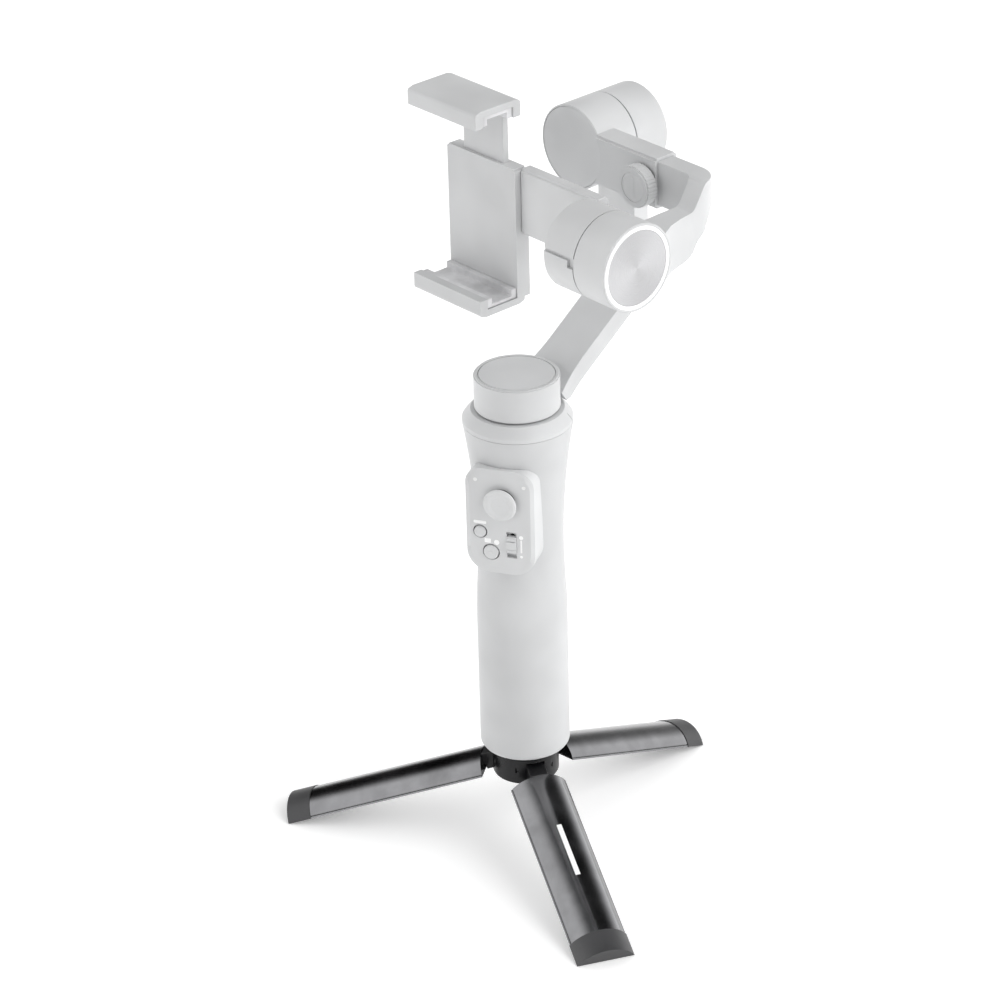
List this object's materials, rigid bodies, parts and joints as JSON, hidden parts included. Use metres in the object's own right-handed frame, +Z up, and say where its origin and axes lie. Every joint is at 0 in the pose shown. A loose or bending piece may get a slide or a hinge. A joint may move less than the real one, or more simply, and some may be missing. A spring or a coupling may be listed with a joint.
{
  "type": "gimbal stabilizer",
  "caption": "Handheld smartphone gimbal: stick handle with control panel, pan, roll and tilt motors on offset arms, spring-jaw phone clamp, and a folding mini tripod foot.",
  "frame": {"origin": "on the floor, under the middle of the whole stand's outline", "axes": "+X along the tilt axis, to the right of the phone; +Y towards the back, along the roll axis; +Z up, along the pan axis"},
  "size_m": [0.1939, 0.1792, 0.348],
  "materials": {
    "pale_shell": "satin painted polycarbonate, pale grey",
    "pale_metal": "satin painted aluminium, pale grey",
    "panel_grey": "satin pale grey",
    "white_light": "frosted white light guide",
    "brushed": "spun metal",
    "black_metal": "black anodised",
    "dark_rubber": "matt",
    "pale_rubber": "matt pale silicone",
    "steel": "ground",
    "copper_core": "lacquered copper winding",
    "magnet": "nickel-dark",
    "board": "green laminate",
    "cell_wrap": "shrink wrap"
  },
  "bodies": {
    "handle": {"handle_front_shell": "pale_shell", "handle_rear_shell": "pale_shell", "base_cap": "panel_grey", "thread_insert": "steel", "control_pod": "panel_grey", "status_lights": "white_light", "shoulder_collar": "pale_metal", "pan_stator_case": "pale_metal", "pan_stator_core": "copper_core", "pan_bearing": "steel", "battery_cell": "cell_wrap", "main_circuit_board": "board", "tripod_hub": "black_metal", "hub_pad": "dark_rubber", "mounting_stud": "steel", "leg_pins": "steel"},
    "leg_1": {"leg_tube_1": "black_metal", "leg_knuckle_1": "black_metal", "foot_cap_1": "dark_rubber"},
    "leg_2": {"leg_tube_2": "black_metal", "leg_knuckle_2": "black_metal", "foot_cap_2": "dark_rubber"},
    "leg_3": {"leg_tube_3": "black_metal", "leg_knuckle_3": "black_metal", "foot_cap_3": "dark_rubber"},
    "joystick_ring": {"joystick_rocker": "magnet"},
    "joystick": {"joystick_cap": "panel_grey"},
    "mode_button": {"mode_button": "panel_grey"},
    "record_button": {"record_button": "panel_grey"},
    "zoom_slider": {"zoom_slider": "panel_grey"},
    "pan_arm": {"pan_drum": "pale_metal", "pan_cap": "panel_grey", "pan_shaft": "steel", "pan_magnet_ring": "magnet", "pan_arm": "pale_metal", "roll_rear_case": "pale_metal", "roll_rear_cover": "panel_grey", "roll_stator_core": "copper_core", "roll_bearing": "steel"},
    "roll_frame": {"roll_front_case": "pale_metal", "roll_front_cover": "panel_grey", "roll_magnet_ring": "magnet", "roll_shaft": "steel", "balance_sleeve": "pale_metal"},
    "clamp_knob": {"clamp_knob": "pale_metal"},
    "balance_arm": {"balance_arm": "pale_metal", "tilt_fixed_case": "pale_metal", "tilt_light_ring": "white_light", "tilt_end_disc": "brushed", "tilt_stator_core": "copper_core", "tilt_bearing": "steel"},
    "phone_clamp": {"tilt_rotor_case": "pale_metal", "tilt_magnet_ring": "magnet", "tilt_shaft": "steel", "clamp_bracket": "pale_metal", "clamp_frame": "pale_shell", "lower_jaw_liner": "pale_rubber"},
    "upper_jaw": {"upper_jaw": "pale_shell", "upper_jaw_liner": "pale_rubber"}
  },
  "joints": [
    {"name": "leg_1_fold", "type": "hinge", "parent": "handle", "child": "leg_1", "pos_m": [0.00585, -0.02143, 0.03985], "axis": [0.4099, 0.9121, 0], "range_deg": [0, 69]},
    {"name": "leg_2_fold", "type": "hinge", "parent": "handle", "child": "leg_2", "pos_m": [-0.00509, -0.00626, 0.03985], "axis": [-0.9949, -0.1011, 0], "range_deg": [0, 69]},
    {"name": "leg_3_fold", "type": "hinge", "parent": "handle", "child": "leg_3", "pos_m": [-0.01276, -0.02332, 0.03985], "axis": [0.585, -0.8111, 0], "range_deg": [0, 69]},
    {"name": "pan", "type": "hinge", "parent": "handle", "child": "pan_arm", "pos_m": [-0.004, -0.017, 0.216], "axis": [0, 0, 1], "continuous": true},
    {"name": "roll", "type": "hinge", "parent": "pan_arm", "child": "roll_frame", "pos_m": [-0.004, 0.033, 0.3146], "axis": [0, 1, 0], "range_deg": [-235, 55]},
    {"name": "balance_slide", "type": "slide", "parent": "roll_frame", "child": "balance_arm", "axis": [1, 0, 0], "range_m": [0, 0.018]},
    {"name": "knob_turn", "type": "hinge", "parent": "roll_frame", "child": "clamp_knob", "pos_m": [0.0395, 0.011, 0.3126], "axis": [0, 1, 0], "range_deg": [0, 360]},
    {"name": "tilt", "type": "hinge", "parent": "balance_arm", "child": "phone_clamp", "pos_m": [0.056, -0.0297, 0.3035], "axis": [1, 0, 0], "range_deg": [-160, 160]},
    {"name": "jaw_slide", "type": "slide", "parent": "phone_clamp", "child": "upper_jaw", "axis": [0, 0, 1], "range_m": [-0.022, 0]},
    {"name": "joystick_pitch", "type": "hinge", "parent": "handle", "child": "joystick_ring", "pos_m": [0.00647, -0.03474, 0.1759], "axis": [0.866, 0.5, 0], "range_deg": [-7, 7], "stiffness_Nm_per_rad": 0.02},
    {"name": "joystick_sway", "type": "hinge", "parent": "joystick_ring", "child": "joystick", "pos_m": [0.00647, -0.03474, 0.1759], "axis": [0, 0, 1], "range_deg": [-7, 7], "stiffness_Nm_per_rad": 0.02},
    {"name": "mode_press", "type": "slide", "parent": "handle", "child": "mode_button", "axis": [-0.5, 0.866, 0], "range_m": [0, 0.0006], "stiffness_N_per_m": 800},
    {"name": "record_press", "type": "slide", "parent": "handle", "child": "record_button", "axis": [-0.5, 0.866, 0], "range_m": [0, 0.0006], "stiffness_N_per_m": 800},
    {"name": "zoom_slide", "type": "slide", "parent": "handle", "child": "zoom_slider", "axis": [0, 0, 1], "range_m": [-0.002, 0.002], "stiffness_N_per_m": 300}
  ]
}
